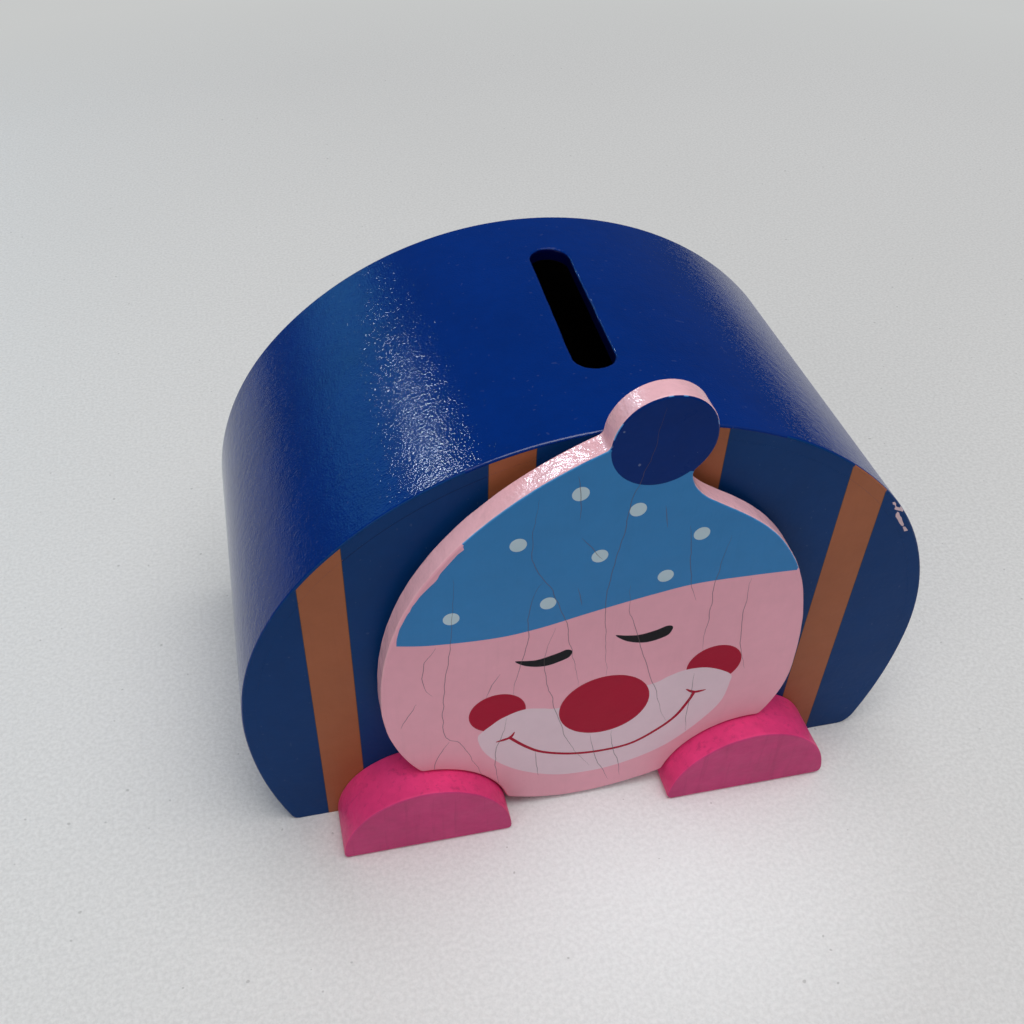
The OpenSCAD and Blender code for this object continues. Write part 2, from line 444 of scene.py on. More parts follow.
def stations(step):
    """Arc lengths along the whole arch, closer together at the rounded foot."""
    count = math.ceil((HALF_LENGTH - FOOT_ZONE) / step)
    half = [(HALF_LENGTH - FOOT_ZONE) * k / count for k in range(count + 1)]
    half += [HALF_LENGTH - d for d in FOOT_STOPS]
    return [-s for s in reversed(half[1:])] + half


CHIPS = (
    ((45.5, 56.3), (46.3, 56.4), (46.5, 56.1), (46.2, 55.9), (46.3, 55.4), (46.7, 55.1), (47.2, 55.0),
     (47.7, 54.5), (47.6, 54.1), (46.9, 54.4), (46.3, 54.7), (46.2, 55.0), (46.3, 55.2), (46.0, 55.7),
     (45.7, 55.8)),
    ((47.0, 54.1), (47.3, 53.8), (47.6, 53.2), (48.1, 52.6), (48.4, 51.9), (48.9, 51.1), (48.9, 50.7),
     (48.6, 50.8), (48.0, 51.5), (47.5, 52.3), (46.9, 53.1), (46.8, 53.6), (46.9, 54.0)),
    ((48.9, 50.6), (49.3, 50.5), (50.0, 49.6), (50.0, 49.5), (49.4, 49.5), (49.2, 49.9), (48.9, 50.4)),
)


BLUE, STRIPE, CHIP, STRIPE_EDGE, BARE = range(5)  # the front's materials, in order


def front_paint(points):
    """Material of the arch's front at (x, z) points."""
    x = np.asarray(points)[:, 0] - STRIPE_X
    colour = np.zeros(len(points), int)
    for low, high in STRIPES:
        colour[(x > low) & (x < high)] = STRIPE_EDGE
        colour[(x > low + OUTLINE_W) & (x < high - OUTLINE_W)] = STRIPE
    for chip in CHIPS:
        colour[inside(points, [chip])] = CHIP
    return colour


def front_lines():
    """Lines that the front's mesh keeps to: the edges of the stripes and their outlines, and the chips."""
    edges = [x for low, high in STRIPES for x in (low, low + OUTLINE_W, high - OUTLINE_W, high)]
    lines = [[(STRIPE_X + x, -1.0), (STRIPE_X + x, ARCH_H + 1.0)] for x in edges]
    return lines + [looped(chip) for chip in CHIPS]


def slot_ring(out):
    """Plan of the coin slot, grown by out, as (x, y) points."""
    r, half = SLOT_W / 2 + out, (SLOT_L - SLOT_W) / 2
    round_steps, straight_steps = 16, 14
    ring = []
    for end in (1, -1):
        for k in range(round_steps + 1):
            a = math.pi * k / round_steps
            ring.append((end * r * math.cos(a), end * (half + r * math.sin(a))))
        for k in range(1, straight_steps):
            ring.append((-end * r, end * (half - 2 * half * k / straight_steps)))
    c, s = math.cos(SLOT_SLANT), math.sin(SLOT_SLANT)
    return [(SLOT_X + x * c + y * s, SLOT_Y - x * s + y * c) for x, y in ring]


def make_wall(paints):
    """The bent wall: outer and inner sheets, rounded rims, the slot and its rounded lip."""
    shell = Shell()
    rim, seam, lip, inner_lip = 0.4, 0.012, 0.55, 0.2
    step, inner_step, rim_step = 1.3, 2.6, 0.9
    depth_steps, round_steps = 40, 5
    marks = stations(step)
    wall_paint, face_paint = 0, 1  # the front's materials start at face_paint
    inner_paint, rim_paint, lip_paint, slot_shade_row = range(5, 9)

    def on_sheet(inset):
        def place(p):
            (x, z), (nx, nz) = arch_point(p[0], inset)
            way = -1 if inset else 1
            return (x, p[1], z), (nx * way, 0, nz * way), (p[0], p[1])
        return place

    def sheet(low, high, inset, slot_out, step, colour):
        """A sheet with the slot in it. Returns its front, right, back, left and slot edges."""
        depth = [low + (high - low) * k / depth_steps for k in range(depth_steps + 1)]
        loop = [(s, low) for s in marks] + [(HALF_LENGTH, y) for y in depth[1:-1]]
        loop += [(s, high) for s in reversed(marks)] + [(-HALF_LENGTH, y) for y in reversed(depth[1:-1])]
        hole = [(CROWN_R * math.asin(x / (CROWN_R - inset)), y) for x, y in slot_ring(slot_out)]
        ids, slot_ids = fill(shell, [loop, hole], [], step, on_sheet(inset), plain(colour))
        n, m = len(marks), depth_steps - 1
        front, right = ids[:n], ids[n - 1:n + m + 1]
        back = ids[n + m:2 * n + m][::-1]
        left = ([back[0]] + ids[2 * n + m:] + [front[0]])[::-1]
        return front, right, back, left, slot_ids

    outer = sheet(FACE_Y + rim, BACK_Y - rim, 0.0, lip, step, wall_paint)
    inner = sheet(FACE_Y + seam, BACK_Y - seam, WALL_T, inner_lip, inner_step, inner_paint)

    def rim_row(inset, y, lean, way):
        ids = []
        for s in marks:
            (x, z), (nx, nz) = arch_point(s, inset)
            normal = (nx * math.cos(lean), way * math.sin(lean), nz * math.cos(lean))
            ids.append(shell.point((x, y, z), normal, (s, y + way * inset)))
        return ids

    def rim_colour(k):
        """Paint of row k of the front edge, which shines over the crown and low on the left."""
        def pick(points):
            x, z = points[:, 0], points[:, 1]
            shiny = (x > RIM_LIGHT[0]) & (x < RIM_LIGHT[1])
            colour = np.where((k < 2) | shiny, wall_paint, face_paint)
            if k in (1, 2):
                colour[shiny | ((x < 0) & (z < RIM_LIGHT_Z))] = rim_paint
            if k > 1:
                printed = face_paint + front_paint(points)
                colour = np.where((x > RIM_PRINT_X) & (printed != face_paint), printed, colour)
            return colour
        return pick

    ends = []
    for way, edge, row, inner_row in ((-1, FACE_Y, outer[0], inner[0]), (1, BACK_Y, outer[2], inner[2])):
        in_front = way < 0
        rows = [row] + [rim_row(drawn, edge - way * away, lean, way)
                        for drawn, away, lean in quarter(rim, round_steps)[:-1]]
        for k, (a, b) in enumerate(zip(rows, rows[1:])):
            shell.strip(a, b, rim_colour(k) if in_front else wall_paint, closed=False)
        loop = [arch_point(s, rim)[0] for s in marks]
        loop += [arch_point(s, WALL_T - seam)[0] for s in reversed(marks)]
        lines = [run for line in front_lines() for run in trimmed(line, [loop])] if in_front else []
        ids, = fill(shell, [loop], lines, rim_step, upright(edge, way),
                    (lambda points: face_paint + front_paint(points)) if in_front else plain(face_paint))
        flat_out, flat_in = ids[:len(marks)], ids[len(marks):][::-1]
        shell.strip(rows[-1], flat_out, rim_colour(round_steps) if in_front else face_paint, closed=False)
        shell.strip(flat_in, inner_row, face_paint, closed=False)
        ends.append((rows, flat_out, flat_in))

    (front_rows, front_out, front_in), (back_rows, back_out, back_in) = ends
    for pick, side in ((0, 3), (-1, 1)):
        cap = [front_out[pick]] + [row[pick] for row in reversed(front_rows)] + outer[side][1:]
        cap += [row[pick] for row in back_rows[1:]] + [back_out[pick], back_in[pick]]
        cap += inner[side][::-1] + [front_in[pick]]
        shell.face(cap, face_paint, normal=(0, 0, -1))

    def slot_row(out, depth, lean, rough):
        """A row round the slot, at a depth under the crown."""
        ids = []
        for (x, y), (mx, my) in zip(slot_ring(out), slot_ring(-SLOT_W / 2)):
            wobble = rough * noise.noise(Vector((x, y, depth)) * CUT_SCALE)
            inward = Vector((mx - x, my - y)).normalized()
            x, y = x + inward.x * wobble, y + inward.y * wobble
            r = CROWN_R - depth
            z = CROWN_C[1] + math.sqrt(r * r - x * x)
            up = Vector((x, 0, z - CROWN_C[1])).normalized()
            normal = up * math.cos(lean) + Vector((inward.x, inward.y, 0)) * math.sin(lean)
            ids.append(shell.point((x, y, z), normal, (x + inward.x * depth, y + inward.y * depth)))
        return ids

    cut_steps, lip_rows = 3, 3
    rows = [(away, drawn, lean, CUT_ROUGH) for drawn, away, lean in quarter(lip, round_steps)]
    for k in range(1, cut_steps + 1):
        depth = lip + (WALL_T - inner_lip - lip) * k / cut_steps
        rows.append((0, depth, math.pi / 2, CUT_ROUGH - CUT_CALM * k))
    rings = [outer[4]] + [slot_row(*row) for row in rows]
    # painted shade: the slot's deeper rows get the darker navy
    for number, (a, b) in enumerate(zip(rings, rings[1:]), 1):
        shell.strip(a, b, lip_paint if number <= lip_rows else slot_shade_row)
    shell.strip(rings[-1], inner[4], inner_paint)
    piece = shell.build("painted_wall", paints)
    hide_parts("arch_wall")
    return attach(piece, "box")


# ---- the head

def cad_front_outline(node):
    """The outline of a node's front face, as a closed (x, z) loop."""
    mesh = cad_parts[node].data
    spots = [tuple(round(c / MM, 4) for c in v.co) for v in mesh.vertices]
    front = min(y for _, y, _ in spots)
    edges = Counter(tuple(sorted((spots[a], spots[b]))) for polygon in mesh.polygons
                    if all(spots[v][1] == front for v in polygon.vertices) for a, b in polygon.edge_keys)
    links = {}
    for a, b in (edge for edge, count in edges.items() if count == 1):
        links.setdefault(a, []).append(b)
        links.setdefault(b, []).append(a)
    loop = [min(links)]
    while len(loop) < len(links):
        loop.append([p for p in links[loop[-1]] if p not in loop[-2:-1]][0])
    return counter_clockwise([(x, z) for x, _, z in loop])


POMPOM_PRINT = ((3.95, 78.85), 7.1, 7.1)
POMPOM_LOBE = ((-6.0, 79.7), (3.95, 79.7), (3.95, 76.5), (8.0, 73.3), (14.0, 73.3), (14.0, 92.0),
               (-6.0, 92.0))
CAP_EDGE = ((-32.75, 47.2), (-27.7, 46.2), (-18.5, 45.6), (-11.7, 46.2), (-3.05, 48.1), (6.2, 49.9),
            (12.95, 50.8), (21.55, 50.7), (30.0, 50.3), (36.0, 49.8))
CAP_LEFT = ((-32.75, 47.2), (-32.7, 48.3), (-32.45, 49.55), (-32.1, 50.9), (-31.65, 51.9), (-31.0, 53.4),
            (-30.5, 54.2), (-30.2, 55.0), (-29.6, 55.9), (-28.9, 57.0), (-27.6, 58.5), (-26.55, 59.7),
            (-26.05, 60.8), (-25.0, 62.2), (-24.15, 63.3), (-23.5, 64.1), (-22.9, 64.6), (-22.8, 65.2),
            (-24.6, 67.6))
CAP_OUTSIDE = [(40, 60), (20, 90), (-20, 90), (-33, 75)]  # beyond the plate
DOT_R = 1.23
DOTS = ((-6.75, 71.95), (-15.1, 64.1), (1.75, 67.6), (-3.05, 59.65), (11.95, 61.15), (-24.6, 51.25),
        (-10.2, 51.45), (7.5, 53.5))
LEFT_EYE = ((-14.8, 39.5), (-13.0, 39.25), (-11.1, 39.1), (-8.05, 39.9), (-6.75, 40.4), (-5.85, 40.0),
            (-5.85, 39.1), (-6.75, 38.2), (-9.9, 37.3), (-12.95, 38.0))
RIGHT_EYE = ((0.95, 41.9), (2.8, 41.45), (4.9, 41.15), (7.4, 41.6), (9.25, 42.25), (10.15, 41.9),
             (10.1, 40.9), (9.25, 39.8), (6.2, 39.1), (3.05, 40.05))
NOSE = ((0.65, 25.05), 7.65, 7.3)
CHEEK_R = 4.67
LEFT_CHEEK = (-17.3, 27.5)
LEFT_CHEEK_CUT = ((-24.0, 21.0), (-19.5, 23.4), (-16.65, 25.9), (-12.7, 27.3), (-9.0, 27.6))
RIGHT_CHEEK = (18.6, 30.8)
RIGHT_CHEEK_CUT = ((11.0, 29.6), (14.15, 29.7), (17.85, 29.4), (21.9, 27.7), (26.0, 24.0))
MUZZLE = ((-20.45, 21.55), (-19.5, 23.4), (-16.0, 26.2), (-12.7, 27.3), (-9.9, 26.8), (-6.95, 26.2),
          (0.0, 27.5), (8.25, 28.4), (11.1, 29.7), (13.9, 30.6), (17.85, 30.2), (21.9, 27.7), (22.2, 25.25),
          (21.3, 20.35), (17.85, 15.45), (13.6, 11.4), (9.25, 9.0), (4.0, 7.4), (-0.65, 6.95), (-6.2, 7.5),
          (-11.75, 9.9), (-16.0, 13.2), (-19.15, 17.3))
SMILE = ((-15.1, 20.45), (-12.3, 17.3), (-9.25, 14.9), (-4.35, 13.05), (0.9, 12.4), (6.2, 12.95),
         (10.45, 15.45), (13.6, 18.5), (15.45, 22.2), (16.2, 24.4))
SMILE_W = 0.58
SMILE_ENDS = (((-17.4, 19.85), (-15.1, 20.45), (-14.3, 21.8)), ((14.6, 25.5), (16.2, 24.4), (18.2, 24.5)))
CRACKS = (
    ((-12.5, 71.9), (-13.0, 67.0), (-13.0, 61.8), (-12.3, 58.7), (-11.1, 56.4), (-9.7, 54.0), (-8.5, 50.6),
     (-7.1, 46.5), (-6.5, 42.5), (-5.9, 40.0), (-5.0, 35.7), (-4.1, 31.1)),
    ((-11.2, 56.0), (-12.3, 54.1), (-13.0, 50.0), (-12.9, 43.9), (-13.9, 37.8), (-14.8, 33.8), (-14.9, 31.4)),
    ((-7.2, 75.1), (-6.7, 72.1), (-6.5, 67.1)),
    ((-5.9, 63.7), (-4.0, 60.9), (-2.6, 58.9)),
    ((3.6, 84.6), (2.8, 77.8), (1.3, 72.0), (0.3, 67.3), (0.1, 63.5), (-0.7, 58.3), (-1.0, 53.8),
     (-1.3, 50.0), (-1.0, 45.2), (-0.3, 38.1), (0.3, 32.5)),
    ((5.8, 67.6), (6.5, 63.3)),
    ((10.1, 63.1), (11.0, 55.9), (11.8, 51.1), (13.2, 47.0)),
    ((16.6, 59.9), (16.1, 54.9), (15.7, 50.3), (16.0, 41.9), (15.8, 39.1), (16.1, 34.8)),
    ((21.5, 50.1), (21.5, 45.2), (22.0, 37.1), (23.6, 30.6), (24.4, 28.5)),
    ((2.2, 52.6), (2.7, 47.1), (3.4, 44.7), (4.9, 39.8), (6.6, 34.1), (8.8, 27.9), (10.6, 21.6),
     (12.0, 17.8)),
    ((-5.7, 53.7), (-4.9, 49.8)),
    ((-24.3, 59.2), (-24.2, 56.1), (-25.0, 44.0), (-25.7, 36.5), (-26.2, 26.1), (-25.0, 22.4), (-23.8, 21.8),
     (-22.1, 18.2), (-20.0, 12.7), (-18.2, 7.5)),
    ((-25.1, 22.1), (-26.9, 18.9), (-28.1, 13.6)),
    ((-26.9, 45.5), (-28.6, 42.5), (-29.1, 39.8), (-28.8, 36.7), (-27.7, 34.3)),
    ((-30.2, 33.1), (-32.1, 29.6), (-32.8, 27.5)),
    ((-8.8, 45.8), (-9.9, 41.0), (-9.9, 35.6), (-9.0, 31.1), (-7.2, 24.2), (-5.5, 18.4), (-3.5, 13.7),
     (-0.7, 8.5)),
    ((-15.6, 25.8), (-16.3, 22.0), (-17.3, 17.5), (-17.4, 13.4), (-16.6, 7.5)),
    ((-10.6, 15.7), (-9.8, 8.2)),
    ((-1.2, 17.6), (-0.3, 12.8), (1.4, 7.9), (3.1, 3.4)),
    ((2.5, 17.6), (3.2, 13.2), (4.5, 8.5), (5.3, 4.0)),
    ((15.6, 29.4), (15.6, 24.9), (15.7, 18.2), (16.1, 13.9)),
    ((-17.1, 37.1), (-18.4, 34.7), (-19.2, 31.8)),
)
CRACK_W, CRACK_DEPTH = 0.13, 0.06
WANDER = ((0.28, 0.4, 0.45, 7.3), (0.09, 1.7, 1.9, 3.1))  # reach, scales in x and z, step between lines
HIGHLIGHT_NOISE = ((1.0, 0.55, 4.0), (0.35, 2.5, 9.0))  # strength, scale and place of the noise that breaks up the painted highlight
HIGHLIGHT_LEVEL = {1: -0.5, 2: 0.2}  # the cap's and the pompom's edges get the painted highlight over it
LINE_TIP, LINE_GROWTH = 0.25, 2.5  # how a tapered line starts and widens


def thick_line(points, width, taper):
    """A closed outline round a line, which taper narrows to its ends."""
    left, right = [], []
    for i, p in enumerate(points):
        a, b = Vector(points[max(i - 1, 0)]), Vector(points[min(i + 1, len(points) - 1)])
        across = (b - a).normalized()
        across = Vector((-across.y, across.x))
        from_end = min(i, len(points) - 1 - i)
        share = min(1, LINE_TIP + LINE_GROWTH * from_end / len(points)) if taper else 1
        left.append(tuple(Vector(p) + across * width / 2 * share))
        right.append(tuple(Vector(p) - across * width / 2 * share))
    return left + right[::-1]


def crack_lines():
    """The hairline cracks as wandering lines."""
    def moved(x, z, number):
        return sum((reach * noise.noise(Vector((x * scale_x, z * scale_z, number * apart)))
                    for reach, scale_x, scale_z, apart in WANDER), x)

    return [[(moved(x, z, number), z) for x, z in smooth_curve(points, 0.8)]
            for number, points in enumerate(CRACKS)]


def head_print():
    """The head's printed regions in painting order, as (material number, closed outline)."""
    pink, cap, pompom, dot, muzzle, red, ink = range(7)
    step, fine_step = 0.5, 0.35
    cap_outline = smooth_curve(CAP_EDGE, step) + CAP_OUTSIDE + smooth_curve(CAP_LEFT, fine_step)[:0:-1]
    left_cut = smooth_curve(LEFT_CHEEK_CUT, step) + [(-9, 10), (-24, 10)]
    right_cut = smooth_curve(RIGHT_CHEEK_CUT, step) + [(26, 10), (11, 10)]
    regions = [(cap, cap_outline), (pompom, POMPOM_LOBE), (pompom, ellipse(*POMPOM_PRINT, 96))]
    regions += [(dot, ellipse(c, DOT_R, DOT_R, 40)) for c in DOTS]
    regions += [(red, ellipse(c, CHEEK_R, CHEEK_R, 60)) for c in (LEFT_CHEEK, RIGHT_CHEEK)]
    regions += [(pink, left_cut), (pink, right_cut)]
    regions += [(muzzle, smooth_curve(MUZZLE, step, closed=True)), (red, ellipse(*NOSE, 96))]
    regions += [(red, thick_line(smooth_curve(SMILE, step), SMILE_W, False))]
    regions += [(red, thick_line(smooth_curve(end, 0.3), SMILE_W, True)) for end in SMILE_ENDS]
    regions += [(ink, smooth_curve(eye, fine_step, closed=True)) for eye in (LEFT_EYE, RIGHT_EYE)]
    return regions


def make_head(paints):
    """The clown's head: one plate, with its print cut into the front face."""
    outline = even_loop(cad_front_outline("head_plate"), 0.7)
    regions = head_print()
    centre_lines = crack_lines()
    strips = [thick_line(line, CRACK_W, True) for line in centre_lines]
    middles = np.array([p for line in centre_lines for p in line])
    edge, highlit = 7, 8

    def paint(points):
        colour = np.zeros(len(points), int)
        for number, region in regions:
            colour[inside(points, [region])] = number
        return colour

    def crack(points):
        return np.any([inside(points, [strip]) for strip in strips], axis=0)

    # painted highlight: a lighter blue on the edge's last printed row, where the noise is high
    def edge_highlight(points):
        colour = paint(points)
        for i, (x, z) in enumerate(points):
            glint = sum(much * noise.noise(Vector((x * scale, z * scale, place)))
                       for much, scale, place in HIGHLIGHT_NOISE)
            if glint > HIGHLIGHT_LEVEL.get(int(colour[i]), math.inf):
                colour[i] = highlit
        return colour

    def sink(p):
        near = np.min(np.sum((middles - np.array([p[0], p[1]])) ** 2, axis=1))
        return CRACK_DEPTH if near < MERGE else 0.0

    lines = [looped(region) for _, region in regions] + [looped(strip) for strip in strips] + centre_lines
    # painted light: the sides and back take the lighter lit pink
    head = plate("clown_head", outline, HEAD_FRONT, HEAD_BACK, paints,
                 front_r=0.45, back_r=0.3, step=1.5, lines=lines, paint=paint, crack=crack, sink=sink,
                 side=edge, rear=edge, ripple=0.05, edge_highlight=edge_highlight)
    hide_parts("head_plate")
    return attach(head, "box")


# ---- boards and feet

SEAM_S = (11.0, 58.0)  # where the seam shows, along the arch from the top to the left
SEAM_W, SEAM_IN = 0.12, 0.12  # its width, and how far it lies inside the wall


def make_boards(front_paints, back_paints):
    """The striped front board, with the seam that shows through its paint, and the back board."""
    arch = counter_clockwise([arch_point(s, WALL_T)[0] for s in stations(1.0)])
    outline = even_loop(arch, 1.1, cut=0.25)
    seam = thick_line([arch_point(-s, WALL_T + SEAM_IN)[0] for s in np.linspace(*SEAM_S, 60)], SEAM_W, True)
    front = plate("striped_front", outline, FACE_Y, FACE_Y + PANEL_T, front_paints,
                  front_r=0.012, back_r=0.03, step=3.0, lines=front_lines() + [looped(seam)],
                  paint=front_paint, side=BLUE, rear=BARE, crack=lambda points: inside(points, [seam]))
    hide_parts("front_panel")
    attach(front, "box")
    mirror = [(-x, z) for x, z in outline]
    back = plate("plain_back", mirror, -BACK_Y, -BACK_Y + PANEL_T, back_paints,
                 front_r=0.12, back_r=0.05, step=3.0, side=0, rear=1)
    back.data.transform(Matrix.Rotation(math.pi, 4, "Z"))
    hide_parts("back_panel")
    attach(back, "box")


def make_foot(name, node, paints, corner):
    """A half-round foot with a softly rounded front edge. corner is how far its ends are softened."""
    low, high = box_mm(node)
    middle, radius = (low[0] + high[0]) / 2, (high[0] - low[0]) / 2
    arc_steps, room, lift = 60, 0.04, 0.02  # room for the ripple, and above the ground
    loop = [(middle + radius * math.cos(a), radius * math.sin(a))
            for a in (math.pi * k / arc_steps for k in range(arc_steps + 1))]
    outline = grown(even_loop(counter_clockwise(loop), 0.8, cut=corner), -room)
    foot = plate(name, [(x, max(z, lift)) for x, z in outline], low[1], high[1], paints,
                 front_r=0.4, back_r=0.25, step=1.6, side=1, rear=1, ripple=0.07)
    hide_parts(node)
    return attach(foot, "box")


# ---- materials

FLOOR_LIGHT = (0.82, 0.81, 0.80, 1)
FLOOR_DARK = (0.70, 0.69, 0.68, 1)
# painted light: the floor's colour in the pool of light in front of the box
FLOOR_PAINTED_LIGHT = (0.95, 0.975, 0.97, 1)
# painted shade: the far floor's dark colour, seen only in reflections
FLOOR_FAR_SHADE = (0.05, 0.10, 0.17, 1)
BACKDROP = (0.575, 0.585, 0.58, 1)
CRACK_BROWN = (0.13, 0.09, 0.10, 1)
SEAM_NAVY = (0.0, 0.006, 0.035, 1)
# painted shade: the darker navy of the slot's deeper walls
SLOT_SHADE_NAVY = (0.0, 0.0012, 0.05, 1)
OUTLINE_OLIVE = (0.07, 0.055, 0.035, 1)
WALL_BLUE = (0.0003, 0.0245, 0.19, 1)
FACE_BLUE = (0.002, 0.040, 0.165, 1)
STRIPE_ORANGE = (0.375, 0.118, 0.05, 1)
CHIP_PINK = (0.75, 0.55, 0.58, 1)
PINK = (0.87, 0.41, 0.50, 1)
# painted light: a lighter, more saturated copy of the head's pink for its lit side edges, used on its back
# too
LIT_EDGE_PINK = (0.93, 0.52, 0.58, 1)
# painted highlight: the light blue line of light along the cap's and pompom's front edges
EDGE_HIGHLIGHT_BLUE = (0.07, 0.33, 0.68, 1)
CAP_BLUE = (0.030, 0.215, 0.51, 1)
POMPOM_BLUE = (0.0006, 0.024, 0.165, 1)
DOT_GREY = (0.53, 0.66, 0.73, 1)
MUZZLE_WHITE = (0.82, 0.61, 0.685, 1)
RED = (0.42, 0.006, 0.034, 1)
INK = (0.009, 0.009, 0.012, 1)
# painted light and shade: a lighter pink for the feet's tops and sides, and a darker copy of it for their
# fronts
FOOT_LIT_PINK = (0.83, 0.052, 0.215, 1)
FOOT_FRONT_SHADED_PINK = (0.60, 0.048, 0.19, 1)
SPECK_GREY = (0.45, 0.5, 0.6, 1)
LINT_GREY = (0.25, 0.24, 0.23, 1)


class Graph:
    """A short way to write a node material."""

    def __init__(self, name):
        self.material = bpy.data.materials.new(name)
        self.material.use_nodes = True
        self.tree = self.material.node_tree
        self.tree.nodes.clear()

    def node(self, kind, inputs=None, **settings):
        made = self.tree.nodes.new("ShaderNode" + kind)
        for key, value in settings.items():
            setattr(made, key, value)
        for key, value in (inputs or {}).items():
            if isinstance(value, bpy.types.NodeSocket):
                self.tree.links.new(value, made.inputs[key])
            else:
                made.inputs[key].default_value = value
        return made

    def place(self):
        return self.node("TexCoord").outputs["Object"]

    def stretched(self, vector, scale):
        return self.node("Mapping", {"Vector": vector, "Scale": scale}).outputs["Vector"]

    def noise(self, where, scale, detail=2.0, rough=0.5, distortion=0.0):
        return self.node("TexNoise", {"Vector": where, "Scale": scale, "Detail": detail, "Roughness": rough,
                                      "Distortion": distortion}).outputs["Fac"]

    def math(self, operation, a, b):
        return self.node("Math", {0: a, 1: b}, operation=operation).outputs[0]

    def remap(self, value, low, high, to_low=0.0, to_high=1.0):
        return self.node("MapRange", {"Value": value, "From Min": low, "From Max": high, "To Min": to_low,
                                      "To Max": to_high}).outputs["Result"]

    def mix(self, factor, a, b):
        return self.node("Mix", {0: factor, 6: a, 7: b}, data_type="RGBA").outputs[2]

    def blend(self, factor, a, b):
        return self.node("MixShader", {0: factor, 1: a.outputs[0], 2: b.outputs[0]})

    def bump(self, height, distance, normal=None):
        inputs = {"Height": height, "Distance": distance * MM, "Strength": 1.0}
        if normal:
            inputs["Normal"] = normal
        return self.node("Bump", inputs).outputs["Normal"]

    def finish(self, shader):
        self.node("OutputMaterial", {"Surface": shader.outputs[0]})
        return self.material

    def surface(self, base, roughness, normal, **more):
        inputs = {"Base Color": base, "Roughness": roughness, "Normal": normal}
        return self.node("BsdfPrincipled", inputs | more)


def shade(colour, by):
    return tuple(c * by for c in colour[:3]) + (1.0,)


def coat(name, colour, roughness, mottle, peel, wave, peel_size, stretch=1.0,
         cracked=None, grain=0.0, specks=0.0, gloss=0.3, dull=0.0):
    """Brushed paint: mottled colour, orange peel, slow waves and, where asked, wood grain.

    peel and wave are heights, peel_size and stretch set the peel's pattern, cracked is the cracks' colour,
    and dull makes the wall's right-hand side that much rougher."""
    g = Graph(name)
    sheet = g.node("UVMap", uv_map="sheet").outputs["UV"]
    where = g.place()
    across = g.stretched(sheet, (1 / stretch, 1.0, 1.0))
    slow = g.noise(where, 55, 3.0, 0.6)
    fine = g.noise(where, 420, 3.0, 0.6)
    tone = g.math("ADD", g.math("MULTIPLY", slow, 0.65), g.math("MULTIPLY", fine, 0.35))
    base = g.mix(g.remap(tone, 0.32, 0.68), shade(colour, 1 - mottle), shade(colour, 1 + mottle))
    if grain:
        fibre = g.noise(g.stretched(where, (1.0, 1.0, 0.06)), 900, 3.0, 0.65)
        base = g.mix(g.remap(fibre, 0.55, 0.75, 0.0, grain), base, shade(colour, 0.72))
    if specks:
        dust = g.noise(where, 1500, 0.0, 0.4)
        base = g.mix(g.remap(dust, 0.80, 0.84, 0.0, specks), base, SPECK_GREY)
    if cracked:
        split = g.node("Attribute", attribute_name="crack").outputs["Fac"]
        base = g.mix(g.math("MULTIPLY", split, 0.62), base, cracked)
    orange = g.noise(across, 1000 / peel_size, 1.5, 0.45)
    waves = g.noise(across, 1000 / (peel_size * 5), 2.0, 0.5)
    normal = g.bump(waves, wave, g.bump(orange, peel))
    if grain:
        normal = g.bump(fibre, 0.03, normal)
    rough = g.remap(g.noise(where, 160, 3.0, 0.6), 0.3, 0.7, roughness * 0.85, roughness * 1.15)
    if dull:
        right = g.node("SeparateXYZ", {"Vector": sheet}).outputs["X"]
        rough = g.math("ADD", rough, g.remap(right, 0.032, 0.05, 0.0, dull))
    return g.finish(g.surface(base, rough, normal, **{"Specular IOR Level": gloss}))


def bare_wood(name, light, dark):
    """Bare plywood: long grain with fine pores."""
    g = Graph(name)
    where = g.stretched(g.place(), (0.08, 1.0, 1.0))
    bands = g.noise(where, 320, 4.0, 0.6, 0.6)
    pores = g.noise(where, 1500, 2.0, 0.5)
    base = g.mix(g.remap(bands, 0.35, 0.65), dark, light)
    base = g.mix(g.remap(pores, 0.6, 0.72, 0.0, 0.45), base, shade(dark, 0.6))
    normal = g.bump(pores, 0.05)
    return g.finish(g.surface(base, g.remap(bands, 0.3, 0.7, 0.62, 0.8), normal))


def soft_plastic(name, colour):
    """Soft moulded plastic with a faint texture."""
    g = Graph(name)
    where = g.place()
    cloud = g.noise(where, 140, 3.0, 0.6)
    grit = g.noise(where, 2600, 2.0, 0.5)
    base = g.mix(cloud, shade(colour, 0.8), shade(colour, 1.3))
    normal = g.bump(grit, 0.02)
    return g.finish(g.surface(base, g.remap(cloud, 0.3, 0.7, 0.38, 0.52), normal))


LIT_POOL_AT = (0.005, -0.040, 0.0)  # middle of the painted pool of light in front of the box, in metres
LIT_POOL = (0.010, 0.052)  # distances from there between which the painted pool of light ends
HAZE = (0.35, 0.45)  # between which the floor fades into the backdrop
FAR_SHADE = (0.45, 0.55)  # and between which it darkens: painted shade, so that glossy paint reflects a dim room


